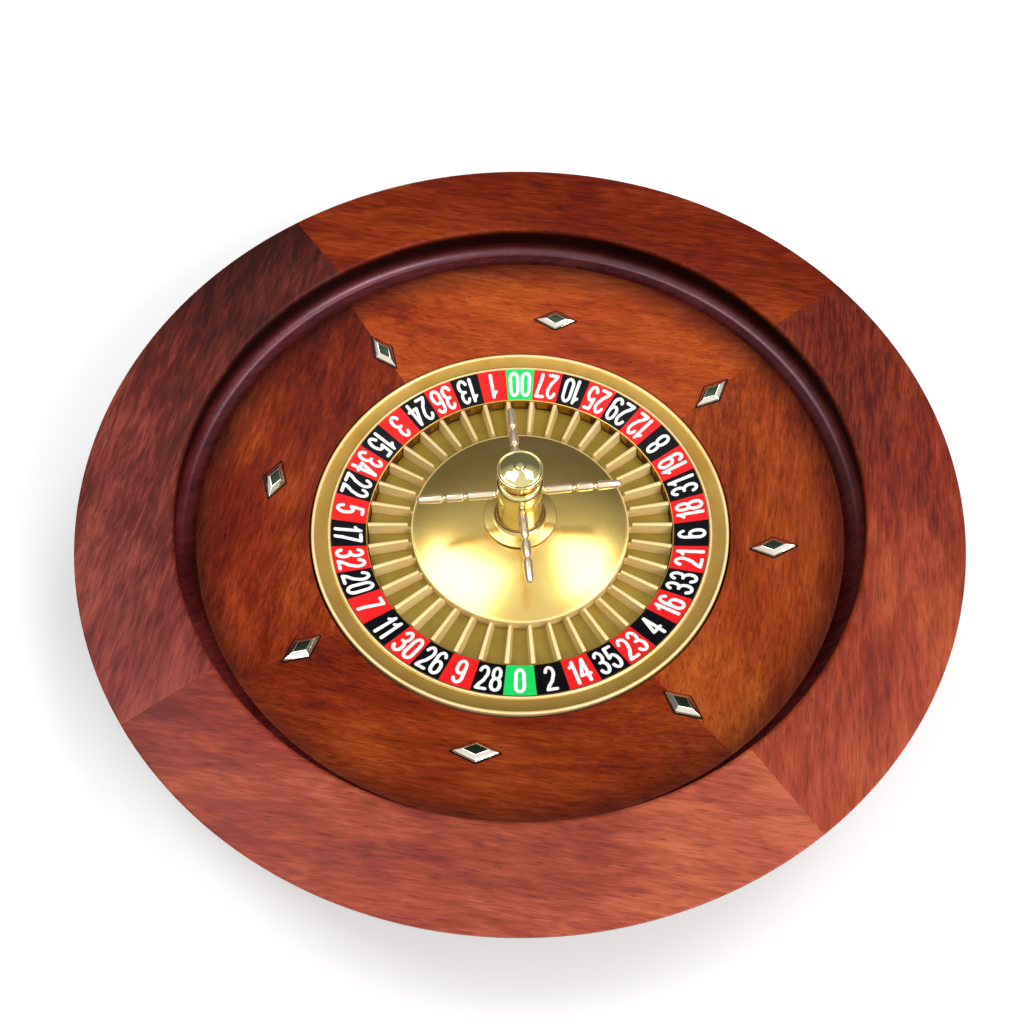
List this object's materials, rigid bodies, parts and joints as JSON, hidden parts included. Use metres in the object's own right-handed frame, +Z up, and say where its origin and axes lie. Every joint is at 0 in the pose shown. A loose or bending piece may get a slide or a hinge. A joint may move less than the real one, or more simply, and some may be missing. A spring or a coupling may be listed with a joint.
{
  "type": "roulette wheel",
  "caption": "Wooden table roulette wheel: a turned bowl with ball track and diamond deflectors, and a brass rotor with numbered pockets and a turret on a ball-bearing spindle.",
  "frame": {"origin": "on the table under the middle of the wheel, level with the undersides of the feet", "axes": "+Z up along the spindle; -Y towards the player, with the 0 pocket at -Y when the rotor is at rest; +X to the right"},
  "size_m": [0.5, 0.5, 0.1064],
  "materials": {
    "rim_wood": "red-brown stained wood, satin lacquer",
    "cone_wood": "orange-brown stained wood, satin lacquer",
    "track_wood": "dark purple-brown wood, gloss lacquer",
    "wall_wood": "red-brown stained wood, satin lacquer",
    "base_wood": "dark stained board, matt",
    "rotor_wood": "turned board, sealed",
    "rubber": "moulded black rubber",
    "steel": "bright machined steel",
    "deflector_metal": "polished pale plating",
    "satin_brass": "satin gold plating",
    "polished_brass": "polished pale gold plating",
    "number_enamel": "printed red, black and green fields with white numerals"
  },
  "bodies": {
    "bowl": {"rim_segment_back": "rim_wood", "rim_segment_left": "rim_wood", "rim_segment_front": "rim_wood", "rim_segment_right": "rim_wood", "ball_track_segment_back": "track_wood", "ball_track_segment_left": "track_wood", "ball_track_segment_front": "track_wood", "ball_track_segment_right": "track_wood", "cone_segment_back": "cone_wood", "cone_segment_left": "cone_wood", "cone_segment_front": "cone_wood", "cone_segment_right": "cone_wood", "bowl_wall": "wall_wood", "rotor_well_ring": "wall_wood", "base_board": "base_wood", "foot_1": "rubber", "foot_2": "rubber", "foot_3": "rubber", "foot_4": "rubber", "foot_screw_1": "steel", "foot_screw_2": "steel", "foot_screw_3": "steel", "foot_screw_4": "steel", "deflector_1": "deflector_metal", "deflector_2": "deflector_metal", "deflector_3": "deflector_metal", "deflector_4": "deflector_metal", "deflector_5": "deflector_metal", "deflector_6": "deflector_metal", "deflector_7": "deflector_metal", "deflector_8": "deflector_metal", "spindle": "steel", "spindle_screw_1": "steel", "spindle_screw_2": "steel", "spindle_screw_3": "steel", "lower_inner_race": "steel", "upper_inner_race": "steel", "inner_spacer": "steel", "spindle_washer": "steel", "spindle_nut": "steel"},
    "rotor": {"rotor_plate": "rotor_wood", "flange_ring": "satin_brass", "number_band": "number_enamel", "pocket_ring": "satin_brass", "dome": "polished_brass", "rotor_hub": "satin_brass", "hub_screw_1": "steel", "hub_screw_2": "steel", "hub_screw_3": "steel", "lower_outer_race": "steel", "upper_outer_race": "steel", "outer_spacer": "steel", "turret_column": "polished_brass", "turret_arm_1": "polished_brass", "turret_arm_2": "polished_brass", "turret_arm_3": "polished_brass", "turret_arm_4": "polished_brass", "turret_knob": "polished_brass"},
    "lower_cage": {"lower_ball_cage": "steel"},
    "upper_cage": {"upper_ball_cage": "steel"}
  },
  "joints": [
    {"name": "rotor_spin", "type": "hinge", "parent": "bowl", "child": "rotor", "pos_m": [0, 0, 0.0355], "axis": [0, 0, 1], "continuous": true},
    {"name": "lower_cage_spin", "type": "hinge", "parent": "bowl", "child": "lower_cage", "pos_m": [0, 0, 0.0283], "axis": [0, 0, 1], "continuous": true},
    {"name": "upper_cage_spin", "type": "hinge", "parent": "bowl", "child": "upper_cage", "pos_m": [0, 0, 0.0427], "axis": [0, 0, 1], "continuous": true}
  ],
  "couplings": [
    {"joint": "lower_cage_spin", "follows": "rotor_spin", "ratio": 0.615},
    {"joint": "upper_cage_spin", "follows": "rotor_spin", "ratio": 0.615}
  ]
}
